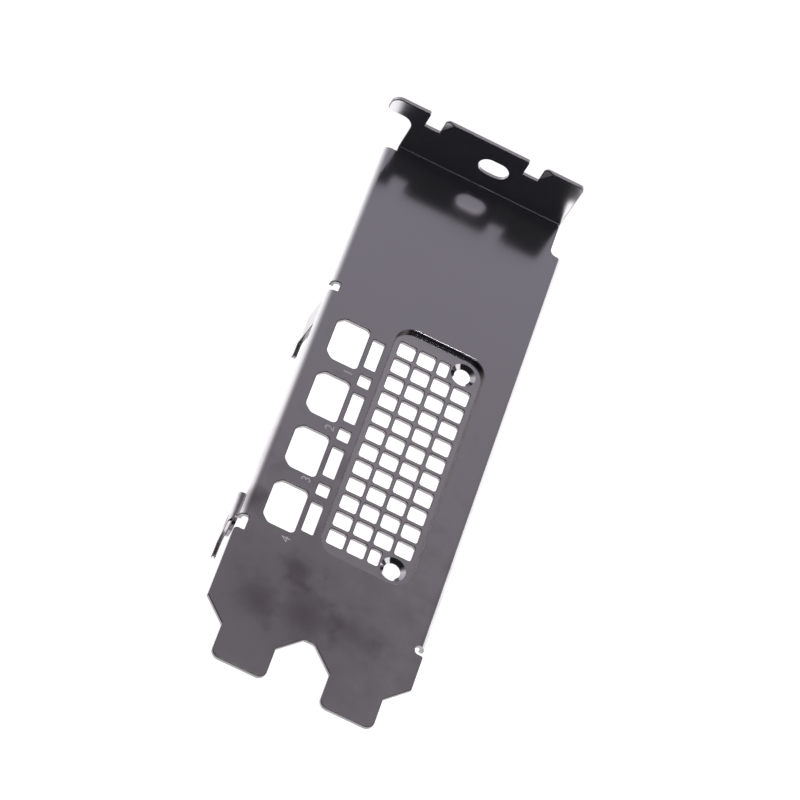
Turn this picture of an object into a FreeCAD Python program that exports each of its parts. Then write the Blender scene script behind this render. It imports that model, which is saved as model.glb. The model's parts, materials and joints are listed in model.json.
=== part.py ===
"""Full-height, two-slot expansion card bracket: one folded and plated steel sheet.

The sheet is drawn in its own frame, in millimetres: x across the two slots, y from the
tongue tips up to the screw flange, z out of the case, with the plate's outer face at z = 0.
The finished sheet is then laid down the way it comes to rest on a table: on the rear edges
of its two hooks and on the rear edge of its right side wall.
"""
import FreeCAD, Part
import math
import os

Vector = FreeCAD.Vector

# Sheet
sheet = 0.8
wall_bend = 0.6            # inside radius of the side walls' bends
fold_bend = 0.4            # inside radius of the flange's fold

# Expansion slot standard
slot_pitch = 20.32
plate_width = 38.74
seat_height = 120.02       # tongue tips to the flange's seating face
tongue_width = 10.19
tongue_height = 6.68
shoulder_height = 10.89
tongue_corner = 1.6

# Side walls, bent back from the plate's long edges
wall_depth = 2.0
right_wall = (19.97, 112.8)
left_wall_low = (29.3, 82.6)
left_wall_high = (84.6, 119.0)
low_edge_top = 26.2        # top of the flat left edge below the walls
relief_inset = 0.45        # how far a bend relief reaches past the bend's tangent line
relief_corner = 0.3
round_relief = 0.9         # radius of the right wall's round relief
left_edge_corner = 0.8     # plate's corners beside the reliefs
right_edge_corner = 0.4

# Screw flange
flange_left = -16.95
flange_right = 16.75
flange_depth = 12.0        # from the plate's outer face
flange_corner = 1.0
notch_floor = 8.2          # lower edge of the lug and bottom of the two locating notches
screw_x = 0.4              # second slot's screw, and the first is one pitch to its left
screw_z = 5.85
screw_slot_width = 4.2
screw_slot_length = 6.0
first_screw_corner = 2.2
lug_tip = -22.48
lug_corner_low = 0.8
lug_corner_high = 2.0
notch_left = -14.87        # first locating notch, and the second is one pitch to its right
notch_width = 3.08
notch_corner = 0.2
tab_corner = 0.5
coined_run = 1.8           # coined lead-in on each tab's left corner
coined_rise = 2.9
coined_depth = 0.5
coined_round = 1.0

# Recessed grille panel
panel_x = 4.18
panel_y = 55.77
panel_width = 17.6
panel_height = 52.9
panel_corner = 3.6
panel_depth = 0.9
panel_wall = 0.6           # sheet left in the drawn wall
rim_round = 0.2
floor_round = 0.15
rear_round = 0.5
rear_fillet = 0.3
grille_y = 55.62           # middle of the grille and of the two screw holes
grille_columns = 4
grille_rows = 12
column_pitch = 4.0
row_pitch = 4.02
grille_hole = 3.25
grille_chamfer = 0.3       # cut-off corners of the square holes
narrow_hole = 2.05         # beside each screw hole

# Countersunk fixing screw holes, in the panel's two right corners
fixing_x = 9.35
fixing_spacing = 45.74
fixing_radius = 1.55
countersink_radius = 2.4
countersink_depth = 0.6

# Display port openings and the vents beside them
port_count = 4
port_x = -12.44
port_y = 72.95             # top opening
port_pitch = 12.78
port_width = 6.3
port_height = 9.55
port_bevel = 1.3           # cut-off corners of the two left corners
port_bevel_round = 1.3
port_corner = 0.95
vent_x = -7.17
vent_width = 2.26
vent_height = 6.65
small_vent_height = 2.6
vent_corner = 0.3

# Hooks at the left edge, which catch the card
hook_low = 75.1            # lower edge of the upper hook's arm
hook_pitch = 47.3
upper_hook_top = 82.6
lower_hook_top = 34.3
hook_reach = 9.2           # plate's outer face to the front of the hook's foot
hook_depth = 11.2          # plate's outer face to the hook's rear edge
hook_stand = 0.6           # how far both rear edges stand outside the plate's left edge
hook_corner = 1.0
foot_drop = 3.0
foot_flat = 0.8
foot_corner = 0.3
joggle = 1.25              # the lower hook first steps outward by this much
joggle_level = 1.55        # depth of the step's outer face
joggle_round = 0.8         # outer radius of both its bends
joggle_root = 0.12         # radius where the step leaves the wall
arm_corner = 0.8           # rounded lower corner of the lower hook's arm
collar_y = 30.3            # threaded collar on the lower hook's inner face
collar_depth = 5.9
collar_radius = 2.4
collar_height = 0.6
thread_radius = 1.25

# Sizes that follow from the ones above
half_width = plate_width / 2
bend_outer = wall_bend + sheet
bend_line = half_width - bend_outer
fold_line = seat_height - fold_bend
tongue_x = slot_pitch / 2
shoulder = (plate_width - slot_pitch - tongue_width) / 2
hook_face = -half_width - hook_stand
cut = 4.0                  # how far a punch reaches past the sheet
tolerance = 1e-3           # lengths below this count as nothing


def corner_arc(before, corner, after, radius):
    """Tangent points and midpoint of the arc that rounds one corner of an outline."""
    to_before = (before - corner).normalize()
    to_after = (after - corner).normalize()
    half_angle = to_before.getAngle(to_after) / 2
    inward = (to_before + to_after).normalize()
    tangent = radius / math.tan(half_angle)
    middle = corner + inward * (radius / math.sin(half_angle) - radius)
    return corner + to_before * tangent, middle, corner + to_after * tangent


def outline(corners, place):
    """Closed wire through (u, v) or (u, v, radius) corners, put in space by place(u, v)."""
    points = [place(corner[0], corner[1]) for corner in corners]
    count = len(points)
    stops = []
    for i, corner in enumerate(corners):
        if len(corner) == 3:
            stops.append(corner_arc(points[i - 1], points[i], points[(i + 1) % count], corner[2]))
        else:
            stops.append((points[i],))
    edges = []
    for i, stop in enumerate(stops):
        if len(stop) == 3:
            edges.append(Part.Arc(*stop).toShape())
        following = stops[(i + 1) % count][0]
        if stop[-1].distanceToPoint(following) > tolerance:
            edges.append(Part.LineSegment(stop[-1], following).toShape())
    return Part.Wire(edges)


def prism(corners, place, along):
    """Solid made by pushing an outline along a vector."""
    return Part.Face(outline(corners, place)).extrude(along)


def box_corners(u, v, width, height, radius):
    """Corners of a rectangle about (u, v), all rounded by one radius."""
    left, right = u - width / 2, u + width / 2
    low, high = v - height / 2, v + height / 2
    return [(left, low, radius), (right, low, radius), (right, high, radius), (left, high, radius)]


def chamfered_corners(u, v, width, height, leg):
    """Corners of a rectangle about (u, v), all cut off at 45 degrees."""
    left, right = u - width / 2, u + width / 2
    low, high = v - height / 2, v + height / 2
    return [
        (left + leg, low), (right - leg, low), (right, low + leg), (right, high - leg),
        (right - leg, high), (left + leg, high), (left, high - leg), (left, low + leg),
    ]


def punch(corners):
    """Cutter that goes straight through the plate."""
    return prism(corners, lambda x, y: Vector(x, y, -cut), Vector(0, 0, 2 * cut))


def plate():
    """Flat of the plate: two tongues, shoulders, bend reliefs and the narrowed top right."""
    inner, outer = tongue_x - tongue_width / 2, tongue_x + tongue_width / 2
    apex = inner - shoulder
    relief_line = bend_line - relief_inset
    round_line = bend_line - round_relief / 2
    right_low = right_wall[0] - 2 * round_relief
    corners = [
        (-outer, 0, tongue_corner), (-inner, 0, tongue_corner), (-inner, tongue_height),
        (-apex, shoulder_height), (apex, shoulder_height),
        (inner, tongue_height), (inner, 0, tongue_corner), (outer, 0, tongue_corner),
        (outer, tongue_height), (half_width, shoulder_height),
        (half_width, right_low, right_edge_corner),
        (round_line, right_low, round_relief), (round_line, right_wall[0], round_relief),
        (bend_line, right_wall[0]), (bend_line, right_wall[1]),
        (flange_right, right_wall[1], bend_line - flange_right), (flange_right, fold_line),
        (flange_left, fold_line), (flange_left, left_wall_high[1]), (-bend_line, left_wall_high[1]),
        (-bend_line, left_wall_high[0]), (-relief_line, left_wall_high[0], relief_corner),
        (-relief_line, left_wall_low[1], relief_corner), (-bend_line, left_wall_low[1]),
        (-bend_line, left_wall_low[0]), (-relief_line, left_wall_low[0], relief_corner),
        (-relief_line, low_edge_top, relief_corner), (-half_width, low_edge_top, left_edge_corner),
        (-half_width, shoulder_height), (-outer, tongue_height),
    ]
    return prism(corners, lambda x, y: Vector(x, y, -sheet), Vector(0, 0, sheet))


def side_wall(side, span):
    """Bend and short wall along one long edge; side is -1 on the left and 1 on the right."""
    start, end = span
    section = [
        (bend_line, 0), (half_width, 0, bend_outer), (half_width, -wall_depth),
        (half_width - sheet, -wall_depth), (half_width - sheet, -sheet, wall_bend), (bend_line, -sheet),
    ]
    return prism(section, lambda x, z: Vector(side * x, start, z), Vector(0, end - start, 0))


def fold():
    """Bend that carries the flange."""
    section = [
        (fold_line, 0), (seat_height, 0, fold_bend), (seat_height, fold_bend),
        (seat_height + sheet, fold_bend), (seat_height + sheet, -sheet, fold_bend + sheet),
        (fold_line, -sheet),
    ]
    return prism(section, lambda y, z: Vector(flange_left, y, z), Vector(flange_right - flange_left, 0, 0))


def flange():
    """Screw flange: lug over the first screw, oblong slot for the second, two edge notches."""
    def on_seat(x, z):
        return Vector(x, seat_height, z)

    through = Vector(0, sheet, 0)
    second_notch = notch_left + slot_pitch
    corners = [
        (flange_left, fold_bend), (flange_left, notch_floor, first_screw_corner),
        (lug_tip, notch_floor, lug_corner_low), (lug_tip, flange_depth, lug_corner_high),
    ]
    for left in (notch_left, second_notch):
        corners += [
            (left, flange_depth, tab_corner), (left, notch_floor, notch_corner),
            (left + notch_width, notch_floor, notch_corner), (left + notch_width, flange_depth, coined_round),
        ]
    corners += [(flange_right, flange_depth, flange_corner), (flange_right, fold_bend)]
    solid = prism(corners, on_seat, through)

    oblong = box_corners(screw_x, screw_z, screw_slot_length, screw_slot_width, screw_slot_width / 2)
    solid = solid.cut(prism(oblong, on_seat, through))
    for left in (notch_left, second_notch):
        solid = solid.cut(coined_corner(left + notch_width))
    return solid


def coined_corner(x):
    """Three-sided wedge that coins the left corner of a flange tab, from its seating face."""
    corner = Vector(x, seat_height, flange_depth)
    across = corner + Vector(coined_run, 0, 0)
    down = corner - Vector(0, 0, coined_rise)
    deep = corner + Vector(0, coined_depth, 0)
    triangles = [(corner, across, down), (corner, deep, across), (corner, down, deep), (across, deep, down)]
    faces = [Part.Face(Part.makePolygon([a, b, c, a])) for a, b, c in triangles]
    return Part.makeSolid(Part.makeShell(faces))


def rim_edges(solid, z, width, height):
    """Edges of a rounded rectangle about the panel's centre, at one depth of a solid."""
    found = []
    for edge in solid.Edges:
        box = edge.BoundBox
        across = max(abs(box.XMin - panel_x), abs(box.XMax - panel_x)) - width / 2
        along = max(abs(box.YMin - panel_y), abs(box.YMax - panel_y)) - height / 2
        level = max(abs(box.ZMin - z), abs(box.ZMax - z))
        if level < tolerance and abs(max(across, along)) < tolerance:
            found.append(edge)
    return found


def draw_panel(solid):
    """Push the grille's panel back into the plate, with rounded rims on both faces."""
    rear_width, rear_height = panel_width + 2 * panel_wall, panel_height + 2 * panel_wall
    rear_z = -panel_depth - sheet
    boss_corners = box_corners(panel_x, panel_y, rear_width, rear_height, panel_corner + panel_wall)
    boss = prism(boss_corners, lambda x, y: Vector(x, y, rear_z), Vector(0, 0, panel_depth + sheet / 2))
    pocket_corners = box_corners(panel_x, panel_y, panel_width, panel_height, panel_corner)
    pocket = prism(pocket_corners, lambda x, y: Vector(x, y, -panel_depth), Vector(0, 0, cut))
    solid = solid.fuse(boss).cut(pocket).removeSplitter()
    rims = [
        (0, panel_width, panel_height, rim_round),
        (-panel_depth, panel_width, panel_height, floor_round),
        (rear_z, rear_width, rear_height, rear_round),
        (-sheet, rear_width, rear_height, rear_fillet),
    ]
    for z, width, height, radius in rims:
        solid = solid.makeFillet(radius, rim_edges(solid, z, width, height))
    return solid


def grille_punches():
    """Square vent holes of the panel; the right corners keep their place for the screws."""
    punches = []
    first_x = panel_x - column_pitch * (grille_columns - 1) / 2
    first_y = grille_y + row_pitch * (grille_rows - 1) / 2
    for column in range(grille_columns):
        for row in range(grille_rows):
            x, y = first_x + column * column_pitch, first_y - row * row_pitch
            width = grille_hole
            if row in (0, grille_rows - 1):
                if column == grille_columns - 1:
                    continue
                if column == grille_columns - 2:
                    width = narrow_hole
                    x -= (grille_hole - narrow_hole) / 2
            punches.append(punch(chamfered_corners(x, y, width, grille_hole, grille_chamfer)))
    return punches


def fixing_punches():
    """Two countersunk holes for the screws that hold the card's cover."""
    punches = []
    for side in (-1, 1):
        centre = Vector(fixing_x, grille_y + side * fixing_spacing / 2, -panel_depth)
        punches.append(Part.makeCylinder(fixing_radius, 2 * cut, centre - Vector(0, 0, cut)))
        cone = Part.makeCone(fixing_radius, countersink_radius, countersink_depth,
                             centre - Vector(0, 0, countersink_depth))
        punches.append(cone)
    return punches


def port_punches():
    """Port openings with two cut-off corners, and the vents to their right."""
    punches = []
    left, right = port_x - port_width / 2, port_x + port_width / 2
    for i in range(port_count):
        y = port_y - i * port_pitch
        low, high = y - port_height / 2, y + port_height / 2
        punches.append(punch([
            (left + port_bevel, low, port_bevel_round), (right, low, port_corner),
            (right, high, port_corner), (left + port_bevel, high, port_bevel_round),
            (left, high - port_bevel, port_bevel_round), (left, low + port_bevel, port_bevel_round),
        ]))
        punches.append(punch(box_corners(vent_x, y, vent_width, vent_height, vent_corner)))
        if i < port_count - 1:
            between = y - port_pitch / 2
            punches.append(punch(box_corners(vent_x, between, vent_width, small_vent_height, vent_corner)))
    return punches


def hook(section, root, low, high):
    """Sheet bent to a section in (x, z), cut to a hook's side view in (y, z).

    The side view is an arm that runs back from its root and a foot that points down.
    """
    foot_low = low - foot_drop
    foot_back = hook_reach + foot_flat
    slope = hook_depth - foot_back
    side_view = root + [
        (low, -hook_reach, foot_corner), (foot_low, -hook_reach, foot_corner),
        (foot_low, -foot_back, foot_corner), (foot_low + slope, -hook_depth, foot_corner),
        (high, -hook_depth, hook_corner), (high, -bend_outer),
    ]
    strip = prism(section, lambda x, z: Vector(x, foot_low, z), Vector(0, high - foot_low, 0))
    cutter = prism(side_view, lambda y, z: Vector(-half_width - cut, y, z), Vector(2 * cut, 0, 0))
    return strip.common(cutter)


def upper_hook():
    """Hook that goes back from the wall and leans a little outward."""
    section = [
        (-half_width, -bend_outer), (-half_width, -wall_depth), (hook_face, -hook_depth),
        (hook_face + sheet, -hook_depth), (-half_width + sheet, -wall_depth),
        (-half_width + sheet, -bend_outer),
    ]
    return hook(section, [(hook_low, -bend_outer)], hook_low, upper_hook_top)


def lower_hook():
    """Hook that a joggle sets outward, with a threaded collar on its inner face."""
    outer = -half_width - joggle
    joggle_rear = joggle_level + sheet
    section = [
        (-half_width, -bend_outer), (-half_width, -joggle_level, joggle_root),
        (outer, -joggle_level, joggle_round), (hook_face, -hook_depth), (hook_face + sheet, -hook_depth),
        (outer + sheet, -joggle_rear), (-half_width + sheet, -joggle_rear, joggle_round),
        (-half_width + sheet, -bend_outer),
    ]
    low, root_low = hook_low - hook_pitch, left_wall_low[0]
    root = [(root_low, -bend_outer), (root_low, -joggle_level), (low, -joggle_level, arm_corner)]
    solid = hook(section, root, low, lower_hook_top)

    below_wall = Part.makeBox(joggle, root_low - low, sheet, Vector(outer + sheet, low, -joggle_rear))
    solid = solid.cut(below_wall)

    along = (collar_depth - joggle_level) / (hook_depth - joggle_level)
    face_x = outer + along * (hook_face - outer) + sheet
    centre = Vector(face_x, collar_y, -collar_depth)
    inside = Vector(-sheet / 2, 0, 0)
    collar = Part.makeCylinder(collar_radius, collar_height + sheet / 2, centre + inside, Vector(1, 0, 0))
    thread = Part.makeCylinder(thread_radius, 2 * cut, centre - Vector(cut, 0, 0), Vector(1, 0, 0))
    return solid.fuse(collar).cut(thread)


def lay_down(solid):
    """Turn the sheet onto its three resting edges and put its foot at the origin."""
    span = half_width - (hook_face + sheet)
    lean = math.degrees(math.atan2(hook_depth - wall_depth, span))
    solid.rotate(Vector(0, 0, 0), Vector(0, 1, 0), lean)
    box = solid.optimalBoundingBox(False, False)
    solid.translate(Vector(-box.Center.x, -box.Center.y, -box.ZMin))
    print(f"leans {lean:.3f} degrees, moved by {-box.Center.x:.4f}, {-box.Center.y:.4f}, {-box.ZMin:.4f}")
    print(f"box {box.XLength:.3f} x {box.YLength:.3f} x {box.ZLength:.3f}")
    return solid


def bracket():
    """The whole sheet, folded, drawn and punched, then laid down."""
    walls = [side_wall(1, right_wall), side_wall(-1, left_wall_low), side_wall(-1, left_wall_high)]
    solid = draw_panel(plate())
    solid = solid.fuse(walls + [fold(), flange(), upper_hook(), lower_hook()])
    solid = solid.cut(grille_punches() + fixing_punches() + port_punches()).removeSplitter()
    return lay_down(solid)


os.makedirs("parts", exist_ok=True)
sheet_part = bracket()
print(f"valid {sheet_part.isValid()}, solids {len(sheet_part.Solids)}, volume {sheet_part.Volume:.1f}")
sheet_part.Solids[0].exportStep("parts/bracket.step")
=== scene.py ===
# %% [markdown]
# # A plated slot bracket
#
# The real object is one steel sheet that was punched, drawn, folded and then plated bright. It holds two
# expansion slots shut at the back of a computer. Its form comes from the packed model, so this lesson is
# about the finish: soft rounded punch edges, a plated mirror that is not quite a mirror, and a studio for
# it to reflect.

# %% Load the frame
import json
import math

import bmesh
import bpy
from mathutils import Matrix, Vector


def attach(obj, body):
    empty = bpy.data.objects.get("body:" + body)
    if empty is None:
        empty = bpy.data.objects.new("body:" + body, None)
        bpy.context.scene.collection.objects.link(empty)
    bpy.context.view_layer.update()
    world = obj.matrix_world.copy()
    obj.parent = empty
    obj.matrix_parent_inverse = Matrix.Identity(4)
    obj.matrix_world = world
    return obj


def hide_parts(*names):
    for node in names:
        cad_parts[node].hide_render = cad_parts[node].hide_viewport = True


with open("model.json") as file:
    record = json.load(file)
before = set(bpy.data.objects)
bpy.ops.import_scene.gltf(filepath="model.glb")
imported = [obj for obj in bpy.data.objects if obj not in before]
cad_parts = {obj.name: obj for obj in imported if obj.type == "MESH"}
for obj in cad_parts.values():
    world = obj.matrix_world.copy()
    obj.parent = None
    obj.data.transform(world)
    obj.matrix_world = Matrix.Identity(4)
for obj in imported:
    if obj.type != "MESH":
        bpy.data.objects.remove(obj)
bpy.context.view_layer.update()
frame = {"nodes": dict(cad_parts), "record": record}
mm = 0.001

# %% [markdown]
# ## The sheet's own axes
#
# The bracket lies on the floor with its plate leaning, but every size of a sheet part is easier to say on
# the flat plate: x across the slots, y from the tongue tips to the flange, z out of the plate. The lean
# could be typed in again. It is read from the mount of the two fixing screws instead, because that mount
# points straight through the plate and so always agrees with the model.

# %% The sheet's own axes
screws = next(m for m in frame["record"]["mounts"] if m["name"] == "fixing_screws")
screws_middle = Vector((9.35, 55.62, -1.7))   # millimetres on the sheet, at the back of the drawn panel
outward = -Vector(screws["axis"])
along = Vector((0.0, 1.0, 0.0))
across = along.cross(outward)
sheet_axes = Matrix((across, along, outward)).transposed()
sheet_origin = Vector(screws["pos_m"]) - sheet_axes @ (screws_middle * mm)
sheet_frame = Matrix.Translation(sheet_origin) @ sheet_axes.to_4x4()


def on_sheet(x, y, z=0.0):
    """A point of the scene from millimetres across, along and out of the sheet."""
    return sheet_frame @ (Vector((x, y, z)) * mm)


print("plate leans", round(math.degrees(math.atan2(outward.x, outward.z)), 3), "degrees")

# %% [markdown]
# ## The camera
#
# A product photo of a flat part is taken with a long lens, so that the part's sides stay parallel. The
# camera could be placed by eye with a Track To constraint. Here it is built from what was measured: where
# it aims on the plate, how high it stands over the plate and which way along the plate looks upright.

# %% The camera
aim = on_sheet(-0.036, 66.36)
camera_distance = 741.53 * mm
camera_height = math.radians(51.525)   # over the plate
camera_side = math.radians(11.091)     # to the left of straight below the tongues
picture_turn = math.radians(17.185)    # from along the plate to what looks upright
lens_mm = 186.994

back = sheet_axes @ Vector((
    -math.sin(camera_side) * math.cos(camera_height),
    -math.cos(camera_side) * math.cos(camera_height),
    math.sin(camera_height),
))
upright = sheet_axes @ Vector((-math.sin(picture_turn), math.cos(picture_turn), 0.0))
picture_up = (upright - back * upright.dot(back)).normalized()
picture_right = picture_up.cross(back)

camera = bpy.data.objects.new("camera", bpy.data.cameras.new("camera"))
camera.data.lens = lens_mm
turned = Matrix((picture_right, picture_up, back)).transposed().to_4x4()
camera.matrix_world = Matrix.Translation(aim + back * camera_distance) @ turned
bpy.context.scene.collection.objects.link(camera)
bpy.context.scene.camera = camera
bpy.context.scene.view_settings.view_transform = "Standard"
print("camera at", [round(value, 4) for value in camera.location])

# %% [markdown]
# ## Shader maths in Python
#
# A finish is a sum of small effects, and a node tree of such sums is hard to read. Dragging nodes or
# writing one call per node would both work. A small class that wraps a socket lets the same sums be
# written as Python expressions, and each operator adds the Math node that does it.

# %% A socket that can be used in sums


class Wire:
    """One shader socket. Sums of wires and numbers add Math nodes, and node() adds any other node."""

    def __init__(self, socket):
        self.socket = socket

    def node(self, kind, settings=None, inputs=None, output=0):
        """Adds a node to this wire's tree: its settings first, then values or links for its sockets."""
        tree = self.socket.id_data
        made = tree.nodes.new(kind)
        for name, value in (settings or {}).items():
            if name == "stops":
                fill_ramp(made.color_ramp, value)
            else:
                setattr(made, name, value)
        shown = [socket for socket in made.inputs if socket.enabled]
        for name, value in (inputs or {}).items():
            target = shown[name] if isinstance(name, int) else next(s for s in shown if s.name == name)
            if isinstance(value, Wire):
                tree.links.new(value.socket, target)
            else:
                target.default_value = value
        results = [socket for socket in made.outputs if socket.enabled]
        if isinstance(output, str):
            return Wire(next(s for s in results if s.name == output))
        return Wire(results[output]) if results else None

    def math(self, operation, first, second=None):
        values = {0: first} if second is None else {0: first, 1: second}
        return self.node("ShaderNodeMath", {"operation": operation}, values)

    def __add__(self, other):
        return self.math("ADD", self, other)

    def __radd__(self, other):
        return self.math("ADD", other, self)

    def __sub__(self, other):
        return self.math("SUBTRACT", self, other)

    def __rsub__(self, other):
        return self.math("SUBTRACT", other, self)

    def __mul__(self, other):
        return self.math("MULTIPLY", self, other)

    def __rmul__(self, other):
        return self.math("MULTIPLY", other, self)

    def __truediv__(self, other):
        return self.math("DIVIDE", self, other)

    def __rtruediv__(self, other):
        return self.math("DIVIDE", other, self)


def fill_ramp(ramp, stops):
    """Gives a colour ramp its stops, each a place from 0 to 1 and a grey or a colour."""
    while len(ramp.elements) < len(stops):
        ramp.elements.new(1.0)
    for element, (place, colour) in zip(ramp.elements, stops):
        element.position = place
        element.color = (*colour, 1.0)


def new_tree(holder):
    """An empty node tree of a material or a world."""
    holder.use_nodes = True
    holder.node_tree.nodes.clear()
    return holder.node_tree


def first_wire(holder, kind, output):
    """The wire that a new material or world starts from."""
    return Wire(new_tree(holder).nodes.new(kind).outputs[output])


print("reflected operators:", [name for name in vars(Wire) if name.startswith("__r")])

# %% [markdown]
# ## The tent
#
# A plated sheet has almost no colour of its own: it shows the room. Such parts are photographed in a
# white tent that is bright to the left, dim overhead and open to a dark room on the camera's side, with
# one small window high on the right that shows in the countersinks. Lamps alone would show as hard spots
# in the plate, so the tent is a gradient in the world, by direction. Its directions are the sheet's own
# axes, because each bend of the sheet then sweeps one of them.

# %% The tent
tent = bpy.data.worlds.new("tent")
bpy.context.scene.world = tent
looking = first_wire(tent, "ShaderNodeTexCoord", "Generated")


def towards(axis):
    """How far a direction of the room points along an axis, from -1 to 1."""
    return looking.node("ShaderNodeVectorMath", {"operation": "DOT_PRODUCT"}, {0: looking, 1: axis})


def rise(value, low, high):
    """0 where a wire is below the low value, 1 where it is above the high one, and a slope between them."""
    return value.node("ShaderNodeMapRange", inputs={"Value": value, "From Min": low, "From Max": high})


def grey_stop(place, grey, tint=(1.0, 1.0, 1.0)):
    """A stop of a ramp: where it is, and a grey with a tint."""
    return place, tuple(grey * share for share in tint)


room_tint = (0.95, 0.95, 1.12)
warm_tint = (1.0, 0.92, 1.02)
tent_tint = (1.0, 0.955, 1.13)
left_begins, left_is_whole = -0.2, 0.4        # of to_back: the left cloth hangs in the back half only
window_direction = sheet_axes @ Vector((0.8, -0.07, 0.59)).normalized()
window_edge, window_pane = 0.95, 0.98         # how straight at the window a direction points
to_back = towards(along)
to_left = towards(-across)
back_cloth = looking.node("ShaderNodeValToRGB", {"stops": [
    grey_stop(0.0, 0.04, room_tint),      # straight ahead of the tongues
    grey_stop(0.15, 0.018, room_tint),
    grey_stop(0.25, 0.013, room_tint),
    grey_stop(0.55, 0.018, room_tint),    # overhead
    grey_stop(0.7, 0.08, warm_tint),
    grey_stop(0.76, 0.13, warm_tint),
    grey_stop(0.785, 0.165, warm_tint),   # what the tongues reflect
    grey_stop(0.805, 0.215, warm_tint),
    grey_stop(0.825, 0.235, tent_tint),   # what the top of the plate reflects
    grey_stop(1.0, 0.45, tent_tint),
]}, {"Fac": (to_back + 1.0) / 2.0})
left_cloth = looking.node("ShaderNodeValToRGB", {"stops": [
    grey_stop(0.2, 0.0),
    grey_stop(0.43, 0.09),
    grey_stop(0.62, 0.22),
    grey_stop(0.745, 0.47),
    grey_stop(0.8, 0.85),
    grey_stop(0.9, 1.0),
]}, {"Fac": to_left})
behind = rise(to_back, left_begins, left_is_whole)
window = rise(towards(window_direction), window_edge, window_pane)
tent_colour = looking.node("ShaderNodeMix", {"data_type": "RGBA", "blend_type": "ADD"}, {
    "Factor": behind * left_cloth + window, "A": back_cloth, "B": (1.0, 1.0, 1.0, 1.0),
})
tent_light = looking.node("ShaderNodeBackground", inputs={"Color": tent_colour})
looking.node("ShaderNodeOutputWorld", inputs={"Surface": tent_light})
print("tent nodes:", len(tent.node_tree.nodes))

# %% [markdown]
# ## The soft box overhead
#
# The rim of the drawn panel shows one thin bright line: a lamp above the part, seen in a small round. It
# could be a bright patch of the tent. A lamp is used because it also lights what is not metal, and it
# leans to the flange's side so that the flange keeps it out of the fold.

# %% The soft box overhead
box_direction = (sheet_axes @ Vector((0.117, 0.24, 0.96))).normalized()
box_distance = 1.1
box_size = 0.18
box_radiance = 8.0
soft_box = bpy.data.objects.new("soft_box", bpy.data.lights.new("soft_box", "AREA"))
soft_box.data.size = box_size
soft_box.data.energy = box_radiance * math.pi * box_size ** 2
soft_box.location = box_direction * box_distance
soft_box.rotation_euler = box_direction.to_track_quat("Z", "Y").to_euler()
bpy.context.scene.collection.objects.link(soft_box)
print("soft box power in W:", round(soft_box.data.energy, 3))

# %% [markdown]
# ## The floor
#
# The part lies on a white table. A white that is only painted would need so much light that the part
# would be washed out. So the floor glows a little for the camera and for mirror reflections, and the rest
# of its white is ordinary light on a pale surface, which keeps the part's soft shadow.

# %% The floor
floor_half = 12.0
floor_mesh = bpy.data.meshes.new("floor")
floor_corners = [(x * floor_half, y * floor_half, 0.0) for x, y in ((-1, -1), (1, -1), (1, 1), (-1, 1))]
floor_mesh.from_pydata(floor_corners, [], [(0, 1, 2, 3)])
floor = bpy.data.objects.new("floor", floor_mesh)
bpy.context.scene.collection.objects.link(floor)

table_white = bpy.data.materials.new("table_white")
seen = first_wire(table_white, "ShaderNodeLightPath", "Is Camera Ray")
in_metal = Wire(seen.socket.node.outputs["Is Glossy Ray"])
through_glass = Wire(seen.socket.node.outputs["Is Transmission Ray"])
camera_glow = 0.85
mirror_glow = 1.0
floor_paint = 0.8
glow_strength = seen * camera_glow + (in_metal + through_glass) * mirror_glow
glow = seen.node("ShaderNodeEmission", inputs={"Strength": glow_strength})
paint = seen.node("ShaderNodeBsdfDiffuse", inputs={"Color": (floor_paint, floor_paint, floor_paint, 1.0)})
both = seen.node("ShaderNodeAddShader", inputs={0: glow, 1: paint})
seen.node("ShaderNodeOutputMaterial", inputs={"Surface": both})
floor_mesh.materials.append(table_white)
print("floor side in m:", 2 * floor_half)

# %% [markdown]
# ## Uneven surfaces
#
# No finish is the same all over: plating drifts in colour, cut metal is torn, and handling leaves dull
# marks. Painted images could hold that. Noise measured in millimetres on the sheet is used instead,
# because it has a real size, needs no unwrapping and runs unbroken over every fold.

# %% Helpers for uneven surfaces


def sheet_place(material):
    """The wire that a material of the bracket starts from: millimetres on the sheet."""
    start = first_wire(material, "ShaderNodeTexCoord", "Object")
    return start.node("ShaderNodeMapping", {"vector_type": "TEXTURE"}, {
        "Vector": start,
        "Location": sheet_origin,
        "Rotation": sheet_axes.to_euler(),
        "Scale": (mm, mm, mm),
    })


def soft_noise(place, size, detail=2.0):
    """Noise from 0 to 1 whose blobs are about that many millimetres across."""
    return place.node("ShaderNodeTexNoise", inputs={"Vector": place, "Scale": 1.0 / size, "Detail": detail})


def between(low, high, share):
    """A number that goes from low to high as a wire goes from 0 to 1."""
    return share * (high - low) + low


def blend_colour(share, first, second):
    """A colour between two others."""
    return share.node("ShaderNodeMix", {"data_type": "RGBA"}, {"Factor": share, "A": first, "B": second})


def end_in_metal(material, place, sockets):
    """Ends a material in a metal shader that has these values or wires on its sockets."""
    shader = place.node("ShaderNodeBsdfPrincipled", inputs={"Metallic": 1.0, **sockets})
    place.node("ShaderNodeOutputMaterial", inputs={"Surface": shader})
    print(material.name, "has", len(material.node_tree.nodes), "nodes")


print("helpers ready:", [helper.__name__ for helper in (sheet_place, soft_noise, between, blend_colour)])
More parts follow.
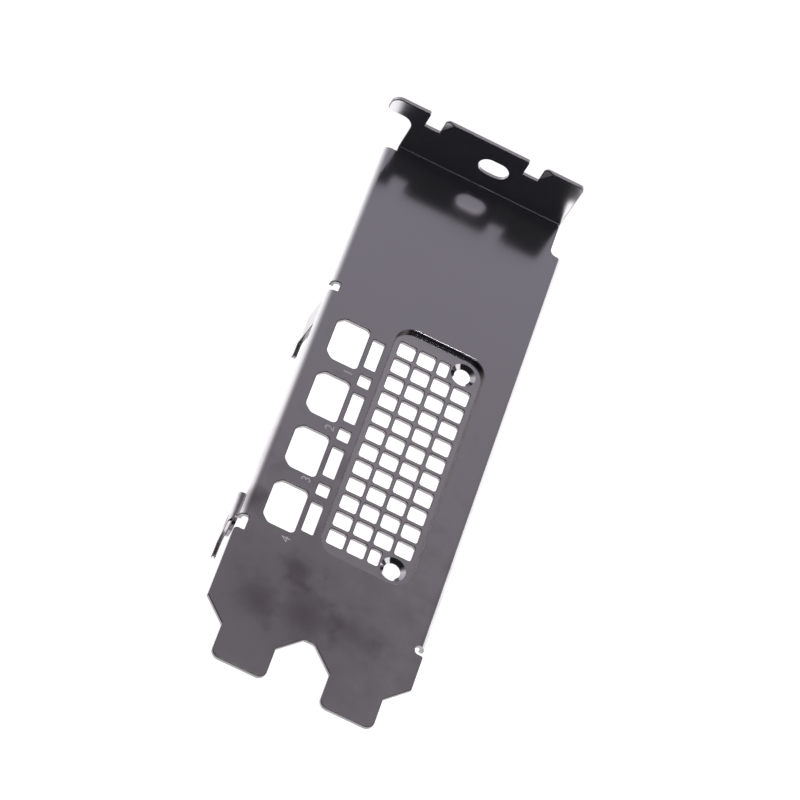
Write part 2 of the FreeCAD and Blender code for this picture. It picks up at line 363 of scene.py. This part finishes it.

# %% [markdown]
# ## Plated skin
#
# Both faces of the sheet carry bright zinc: a pale metal, smooth but not polished. One flat roughness
# would look like plastic film. On the real sheet the rolling mill left fine lines along its length, the
# plating bath left a slow unevenness, and fingers left small brown marks above the tongues. One wide soft
# spot also darkens the plate towards the tongues, and that darkening is painted shade. Each of these is a
# small change to colour, roughness or bump, and each mark is a soft spot with a ragged edge.

# %% Plated skin
zinc = (0.79, 0.78, 0.80, 1.0)
zinc_dull = (0.75, 0.735, 0.755, 1.0)
# the darker colour of the small stains and of the painted shade towards the tongues
stain_and_shade_colour = (0.4, 0.365, 0.375, 1.0)
skin_roughness = 0.175
skin_drift = 0.03
cloud_size = 14.0
line_size = (0.09, 6.0, 6.0)     # millimetres: fine across the sheet, long along it
line_height = 0.01 * mm
line_strength = 0.05
spot_edge_size = 4.5
spot_edge_detail = 5.0
raggedness = 2.2
stain_and_shade_spots = [   # millimetres on the sheet, how far each reaches, and how much of the darker colour it holds: the first, wide spot is painted shade, the rest are stains
    (-7.0, 12.0, 46.0, 0.5), (-6.1, 23.6, 4.2, 0.6), (-10.9, 14.3, 6.0, 0.5), (-2.4, 15.8, 8.0, 0.5),
    (6.2, 16.0, 6.0, 0.45), (-5.6, 47.0, 5.0, 0.3), (-18.3, 33.0, 4.5, 0.6),
]


def soft_spot(place, ragged, x, y, reach):
    """1 at a point of the plate and 0 beyond its reach, with a ragged outline."""
    away = place.node("ShaderNodeVectorMath", {"operation": "DISTANCE"}, {0: place, 1: (x, y, 0.0)})
    near = 1.0 - (away / reach) * ((ragged - 0.5) * raggedness + 1.0)
    return place.node("ShaderNodeMapRange", {"interpolation_type": "SMOOTHSTEP"}, {"Value": near})


plated_skin = bpy.data.materials.new("plated_skin")
place = sheet_place(plated_skin)
cloudy = soft_noise(place, cloud_size)
drawn_out = place.node("ShaderNodeVectorMath", {"operation": "DIVIDE"}, {0: place, 1: line_size})
rolled = soft_noise(drawn_out, 1.0)
ragged = soft_noise(place, spot_edge_size, spot_edge_detail)
stain_and_shade_share = sum(soft_spot(place, ragged, x, y, reach) * share for x, y, reach, share in stain_and_shade_spots)
end_in_metal(plated_skin, place, {
    "Base Color": blend_colour(stain_and_shade_share, blend_colour(cloudy, zinc, zinc_dull), stain_and_shade_colour),
    "Roughness": skin_roughness + ((cloudy - 0.5) * 2.0 + (rolled - 0.5)) * skin_drift,
    "Normal": place.node("ShaderNodeBump", inputs={
        "Strength": line_strength, "Distance": line_height, "Height": rolled,
    }),
})

# %% [markdown]
# ## Sheared edge and its painted shade
#
# The walls of the holes and the sheet's outline are cut metal, partly sheared and partly torn, and plated
# later. They could keep the skin's finish, but then the sheet's thickness would hardly show. So every cut
# that is seen at a slant gets a rougher zinc with a fine torn bump, and a darker colour that is painted
# shade.

# %% Sheared edge and its painted shade
# painted shade of the cut walls, in two tones that drift at random
cut_painted_shade = (0.38, 0.365, 0.38, 1.0)
cut_painted_shade_dull = (0.3, 0.285, 0.3, 1.0)
cut_roughness = (0.18, 0.3)
tear_size = 0.35
tear_height = 0.01 * mm
tear_strength = 0.2

sheared_edge_and_shade = bpy.data.materials.new("sheared_edge_and_shade")
place = sheet_place(sheared_edge_and_shade)
torn = soft_noise(place, tear_size)
end_in_metal(sheared_edge_and_shade, place, {
    "Base Color": blend_colour(torn, cut_painted_shade, cut_painted_shade_dull),
    "Roughness": between(*cut_roughness, torn),
    "Normal": place.node("ShaderNodeBump", inputs={
        "Strength": tear_strength, "Distance": tear_height, "Height": torn,
    }),
})

# %% [markdown]
# ## Painted shade on the rounds
#
# Around each hole the punch dragged the sheet down into a small round. Its colour is painted shade: darker
# than the plate, and darkest on the side that faces the tongues. A painted mask could say which side that
# is. The surface's own direction already says it, so the colour is a blend by how much a point faces the
# tongues.

# %% Painted shade on the rounds
rim_shade_colour = (0.34, 0.315, 0.325, 1.0)
rim_deepest_shade = (0.16, 0.14, 0.145, 1.0)
rim_roughness = 0.22
deepest_shade_facing = 0.35                 # share of a direction to the tongues at which the painted shade is darkest

rim_painted_shade = bpy.data.materials.new("rim_painted_shade")
place = sheet_place(rim_painted_shade)
direction = place.node("ShaderNodeNewGeometry", output="Normal")
toward_tongues = place.node("ShaderNodeVectorMath", {"operation": "DOT_PRODUCT"}, {0: direction, 1: -along})
end_in_metal(rim_painted_shade, place, {
    "Base Color": blend_colour(rise(toward_tongues, 0.0, deepest_shade_facing), rim_shade_colour, rim_deepest_shade),
    "Roughness": rim_roughness,
})

# %% [markdown]
# ## Finishes and painted shade of the worked places
#
# Some places were worked again after the sheet was cut. The flange's lead-in corners and cut rims were
# coined and are matt, and the countersinks and the drawn panel's upper rim were burnished by their tools.
# The die rubbed the panel's walls smooth, and their dark colour is painted shade; the hooks' feet are
# painted dark as shade too. Each could have its own node tree. They differ only in numbers, so one function
# makes them all.

# %% Finishes and painted shade of the worked places


def drifting_metal(name, blob, colours, roughness):
    """A metal whose colour and roughness drift between two values, in blobs of so many millimetres."""
    finish = bpy.data.materials.new(name)
    place = sheet_place(finish)
    drift = soft_noise(place, blob)
    end_in_metal(finish, place, {
        "Base Color": blend_colour(drift, *colours),
        "Roughness": between(*roughness, drift),
    })
    return finish


bright = (zinc, zinc_dull)
# painted shade of the panel's smooth walls
wall_shade_colours = ((0.45, 0.44, 0.48, 1.0), (0.4, 0.39, 0.43, 1.0))
# painted shade of the hooks' feet
feet_shade_colours = ((0.13, 0.13, 0.14, 1.0), (0.2, 0.19, 0.2, 1.0))
coined_zinc = drifting_metal("coined_zinc", blob=0.5, colours=bright, roughness=(0.42, 0.52))
burnished_zinc = drifting_metal("burnished_zinc", blob=2.0, colours=bright, roughness=(0.06, 0.1))
smooth_wall_shade = drifting_metal("smooth_wall_shade", blob=2.0, colours=wall_shade_colours, roughness=(0.06, 0.1))
feet_painted_shade = drifting_metal("feet_painted_shade", blob=0.8, colours=feet_shade_colours, roughness=(0.2, 0.24))

# %% [markdown]
# ## Painted light on the panel's floor
#
# The die also pressed the floor of the drawn panel flat. Its colour is paler than the plate's, most of all
# beside the upper ports, as a painted brighter reflection. A gradient across the panel could show that. A
# soft spot like the plate's darker spots is used, only much wider, because its edge is as uneven as the
# real one.

# %% Painted light on the panel's floor
# painted light: the floor's paler colour near the upper ports
painted_light_pale = (0.97, 0.955, 0.96, 1.0)
painted_light_x = -6.0
painted_light_y = 66.0
painted_light_reach = 46.0

floor_painted_light = bpy.data.materials.new("floor_painted_light")
place = sheet_place(floor_painted_light)
ragged = soft_noise(place, spot_edge_size, spot_edge_detail)
painted_light_share = soft_spot(place, ragged, painted_light_x, painted_light_y, painted_light_reach)
end_in_metal(floor_painted_light, place, {
    "Base Color": blend_colour(painted_light_share, zinc, painted_light_pale),
    "Roughness": between(skin_roughness - skin_drift, skin_roughness + skin_drift, ragged),
})

# %% [markdown]
# ## The sheet's surface as a clean mesh
#
# The packed model is triangles, with seams between its CAD faces, and a modifier would round those seams
# too. The mesh could be redrawn by hand. Welding the seams and dissolving what is flat gives the same
# surface with only its real edges, turned so that the plate lies flat and one unit is a millimetre.

# %% The sheet's surface as a clean mesh
weld_distance = 0.002
flat_angle = math.radians(0.6)
sheet_in_mm = sheet_frame @ Matrix.Scale(mm, 4)

built = bmesh.new()
cad_mesh = frame["nodes"]["bracket"].data
corners = [built.verts.new(sheet_in_mm.inverted() @ vertex.co) for vertex in cad_mesh.vertices]
for triangle in cad_mesh.polygons:
    built.faces.new([corners[index] for index in triangle.vertices])
bmesh.ops.remove_doubles(built, verts=built.verts[:], dist=weld_distance)
bmesh.ops.dissolve_limit(
    built, angle_limit=flat_angle, use_dissolve_boundaries=False, verts=built.verts[:], edges=built.edges[:]
)
bmesh.ops.recalc_face_normals(built, faces=built.faces[:])
weights = built.edges.layers.float.new("bevel_weight_edge")
print("clean mesh:", len(built.verts), "points,", len(built.faces), "faces,",
      sum(not edge.is_manifold for edge in built.edges), "open edges")

# %% [markdown]
# ## The two faces of the sheet
#
# A sheet has two faces, and everything else on it was cut. Faces of a mesh could be sorted by their
# direction, but a folded sheet faces every way. So the surface is flooded across its smooth edges: the
# flood stops at each cut, and the two largest patches are the sheet's two faces.

# %% The two faces of the sheet
sharp_angle = math.radians(25.0)


def is_sharp(edge):
    """True where the surface breaks and doesn't only bend."""
    return edge.calc_face_angle() > sharp_angle


def smooth_patches(surface):
    """Groups of faces that join across edges which are not sharp, the largest area first."""
    left = set(surface.faces)
    patches = []
    while left:
        waiting = [left.pop()]
        patch = []
        while waiting:
            face = waiting.pop()
            patch.append(face)
            for edge in face.edges:
                if not is_sharp(edge):
                    fresh = [other for other in edge.link_faces if other in left]
                    left.difference_update(fresh)
                    waiting.extend(fresh)
        patches.append(patch)
    return sorted(patches, key=lambda patch: -sum(face.calc_area() for face in patch))


def facing_out(patch):
    """How much of a patch faces out of the plate, less what faces in."""
    return sum(face.calc_area() * face.normal.z for face in patch)


patches = smooth_patches(built)
outer_face, inner_face = (set(patch) for patch in sorted(patches[:2], key=facing_out, reverse=True))
print("patches:", len(patches), "and the first areas in square mm:",
      [round(sum(face.calc_area() for face in patch), 1) for patch in patches[:4]])

# %% [markdown]
# ## Where each finish goes
#
# On the real part a finish follows from how its place was made: what the die rubbed, what the punch cut.
# The painted light and shade go to their places in the same way.
# Faces could be picked by hand in Edit Mode. Short tests on a face's place and direction do it here, so
# that a new pack of the model gets its finishes by itself.

# %% Where each finish goes
panel_middle = Vector((4.18, 55.77, -0.9))
panel_half = Vector((9.5, 27.2, 0.0))       # to just outside the drawn panel's rim
floor_span = 0.4                            # from the panel's floor to where its wall has begun
rim_facing = 0.88                           # out of the plate, as the first half of a rim's round is
rim_level = -0.45                           # the middle of the panel's wall
screw_spacing = 45.74
screw_holes = [screws_middle.to_2d() + Vector((0.0, side * screw_spacing / 2)) for side in (-1, 1)]
countersink_radius = 2.5
flange_level = 3.0                          # above this there is only flange
lead_in_level = 8.5
foot_level = -7.0                           # below this there are only the hooks' feet
flat_facing = 0.995                         # shares of a face's direction: straight out of the plate,
out_facing = 0.55                           # more out of the plate than along it,
side_facing = 0.3                           # partly to the left or to the right,
cone_low, cone_high = 0.3, 0.95             # as on the countersinks' cones,
tongue_facing = -0.8                        # almost straight to the tongues,
slant_facing = -0.1                         # and a little to the tongues or to the left


def is_upper_rim(face):
    """True on the round at the top of the panel's upper wall, which the soft box shines in."""
    turned_down = face.normal.z > rim_facing and face.normal.y < slant_facing
    return turned_down and face.calc_center_median().z > rim_level


def panel_finish(face):
    """The finish of a face of the drawn panel, with painted light on its floor and painted shade on most of
    its walls.
    """
    if face.normal.z > flat_facing:
        return floor_painted_light
    if is_upper_rim(face):
        return burnished_zinc
    return rim_painted_shade if abs(face.normal.x) > side_facing else smooth_wall_shade


def is_in_panel(face):
    """True on the panel's floor and walls, and false on the plate around them."""
    away = face.calc_center_median() - panel_middle
    inside = abs(away.x) < panel_half.x and abs(away.y) < panel_half.y
    return inside and face in outer_face and (face.normal.z < flat_facing or away.z < floor_span)


def is_countersink(face):
    """True on the cones of the two screw holes."""
    centre = face.calc_center_median().to_2d()
    nearest = min((centre - hole).length for hole in screw_holes)
    return cone_low < face.normal.z < cone_high and nearest < countersink_radius


def is_coined(face):
    """True on the flange's lead-in corners and on its cut rims that look out of the plate."""
    level = face.calc_center_median().z
    slopes = face.normal.y < tongue_facing and face.normal.x < slant_facing
    return (slopes and level > lead_in_level) or (face.normal.z > out_facing and level > flange_level)


def finish_of(face):
    """The finish of a face of the sheet, painted light and shade included."""
    if is_in_panel(face):
        return panel_finish(face)
    if is_countersink(face):
        return burnished_zinc
    if is_coined(face):
        return coined_zinc
    # the hooks' feet get painted shade
    if face.normal.z > out_facing and face.calc_center_median().z < foot_level:
        return feet_painted_shade
    return plated_skin if face in outer_face or face in inner_face else sheared_edge_and_shade


finishes = [
    plated_skin, sheared_edge_and_shade, rim_painted_shade, coined_zinc,
    burnished_zinc, smooth_wall_shade, floor_painted_light, feet_painted_shade,
]
for face in built.faces:
    face.smooth = True
    face.material_index = finishes.index(finish_of(face))
print("faces by finish:", {
    finish.name: sum(face.material_index == index for face in built.faces)
    for index, finish in enumerate(finishes)
})

# %% [markdown]
# ## Which edges get a round
#
# Where a punch enters, it drags the sheet into a small round, and where it leaves, the edge is nearly
# sharp. The CAD model has plain sharp edges there, which catch no light. One bevel for all edges would
# treat both sides alike, so each edge gets a weight: most beside the outer face, little beside the inner
# face. The countersinks were cut by a drill and keep crisp edges, and edges that run into a narrow point
# get no round either, because it has no room there. Both are marked sharp.

# %% Which edges get a round
burr_share = 0.35
corner_share = 0.6
point_angle = math.radians(20.0)
point_reach = 1.3


def is_pointed(loop):
    """True where two sharp edges of a face meet almost in line."""
    return loop.calc_angle() < point_angle and is_sharp(loop.edge) and is_sharp(loop.link_loop_prev.edge)


points = [loop.vert.co.copy() for face in built.faces for loop in face.loops if is_pointed(loop)]


def has_room(edge):
    """True where no narrow point is near the ends of an edge."""
    return all((vert.co - point).length > point_reach for vert in edge.verts for point in points)


def round_share(edge):
    """How much of the full round a sharp edge gets."""
    if any(is_countersink(face) for face in edge.link_faces) or not has_room(edge):
        return 0.0
    if outer_face.intersection(edge.link_faces):
        return 1.0
    return burr_share if inner_face.intersection(edge.link_faces) else corner_share


for edge in filter(is_sharp, built.edges):
    edge[weights] = round_share(edge)
    edge.smooth = edge[weights] > 0
print("rounded edges:", sum(edge[weights] > 0 for edge in built.edges), "and narrow points:", len(points))

# %% [markdown]
# ## The rounded sheet
#
# The rounds themselves are three small facets along each weighted edge, coloured with the painted shade of
# the rounds.
# They could be cut one by one with a bevel tool. The Bevel modifier reads the weights and does all at
# once. Beside the rounds the flats have to look dead flat, so the bevel marks its own faces as weak ones
# and weighted normals let the strong and large faces win. They are worked out while one unit is a
# millimetre, because Blender takes the normals of very small faces for empty ones.

# %% The rounded sheet
punch_round = 0.16
round_facets = 3

blank = bpy.data.objects.new("blank", bpy.data.meshes.new("blank"))
for finish in finishes:
    blank.data.materials.append(finish)
built.to_mesh(blank.data)
built.free()
bpy.context.scene.collection.objects.link(blank)
rounding = blank.modifiers.new("punched_edges", "BEVEL")
rounding.limit_method = "WEIGHT"
rounding.width = punch_round
rounding.segments = round_facets
rounding.use_clamp_overlap = False
rounding.loop_slide = False
rounding.material = finishes.index(rim_painted_shade)
rounding.face_strength_mode = "FSTR_ALL"
flats = blank.modifiers.new("flat_faces", "WEIGHTED_NORMAL")
flats.mode = "FACE_AREA"
flats.keep_sharp = True
flats.use_face_influence = True
sheet_mesh = bpy.data.meshes.new_from_object(blank.evaluated_get(bpy.context.evaluated_depsgraph_get()))
bpy.data.objects.remove(blank)
sheet_mesh.transform(sheet_in_mm)
print("rounded sheet:", len(sheet_mesh.vertices), "points,", len(sheet_mesh.polygons), "faces")

# %% [markdown]
# ## The folded sheet in its place
#
# The rounded mesh is the same sheet with a finer surface. It could be laid over the CAD sheet, but two
# surfaces in one place flicker. So it replaces the CAD sheet in the picture and rides on the root body,
# with its own finishes.

# %% The folded sheet in its place
folded_sheet = bpy.data.objects.new("folded_sheet", sheet_mesh)
bpy.context.scene.collection.objects.link(folded_sheet)
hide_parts("bracket")
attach(folded_sheet, "root")
print("folded sheet stands for the bracket, with", len(sheet_mesh.materials), "finishes")

# %% [markdown]
# ## Laser frost
#
# A laser marks plated steel by melting its skin into a fine frost, which is pale because it scatters the
# lamp. White paint would look as dark as the plate here, since the tent gives little light from above. So
# the frost is the same metal, only whiter and much rougher.

# %% Laser frost
frost_zinc = (1.0, 0.99, 1.0, 1.0)
frost_roughness = (0.42, 0.55)
frost_size = 0.4

laser_frost = bpy.data.materials.new("laser_frost")
place = sheet_place(laser_frost)
end_in_metal(laser_frost, place, {
    "Base Color": frost_zinc,
    "Roughness": between(*frost_roughness, soft_noise(place, frost_size)),
})

# %% [markdown]
# ## The port digits
#
# Each port has a small plain digit beside it, marked by a laser. A mask in the plate's finish could draw
# it. A very thin mesh on the plate is used instead, so that the digit is a piece of its own with clean
# outlines, and it is made from a text object because that already holds the shapes.

# %% A mesh of one digit
digit_thin = -0.004                # pulls the strokes in, as a share of the letter size
digit_weld = 0.0005


def digit_mesh(name, body):
    """A closed mesh of one digit, centred, one unit high and two units thick."""
    curve = bpy.data.curves.new(name, "FONT")
    curve.body = body
    curve.offset = digit_thin
    curve.extrude = 1.0
    letter = bpy.data.objects.new(name, curve)
    bpy.context.scene.collection.objects.link(letter)
    mesh = bpy.data.meshes.new_from_object(letter.evaluated_get(bpy.context.evaluated_depsgraph_get()))
    bpy.data.objects.remove(letter)
    welded = bmesh.new()
    welded.from_mesh(mesh)
    bmesh.ops.remove_doubles(welded, verts=welded.verts[:], dist=digit_weld)
    welded.to_mesh(mesh)
    open_edges = sum(not edge.is_manifold for edge in welded.edges)
    welded.free()
    xs = [vertex.co.x for vertex in mesh.vertices]
    ys = [vertex.co.y for vertex in mesh.vertices]
    height = max(ys) - min(ys)
    middle = Vector(((max(xs) + min(xs)) / 2, (max(ys) + min(ys)) / 2, 0.0))
    mesh.transform(Matrix.Diagonal((1 / height, 1 / height, 1.0, 1.0)) @ Matrix.Translation(-middle))
    print(name, len(mesh.polygons), "faces,", open_edges, "open edges")
    return mesh


# %% The port digits
digit_height = 1.7
digit_raise = 0.012                # half a digit's thickness: the other half is sunk in the plate
digit_places = [(-10.55, 66.85), (-10.10, 53.95), (-10.72, 41.57), (-10.31, 28.09)]
along_the_plate = Matrix(((0.0, -1.0, 0.0), (1.0, 0.0, 0.0), (0.0, 0.0, 1.0))).to_4x4()
digit_size = Matrix.Diagonal((digit_height, digit_height, digit_raise, 1.0))

for number, (x, y) in enumerate(digit_places, start=1):
    mark_mesh = digit_mesh(f"port_digit_{number}", str(number))
    mark_mesh.transform(sheet_in_mm @ Matrix.Translation((x, y, 0.0)) @ along_the_plate @ digit_size)
    mark_mesh.materials.append(laser_frost)
    digit = bpy.data.objects.new(f"port_digit_{number}", mark_mesh)
    bpy.context.scene.collection.objects.link(digit)
    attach(digit, "root")

# %% [markdown]
# ## The end of the lesson
#
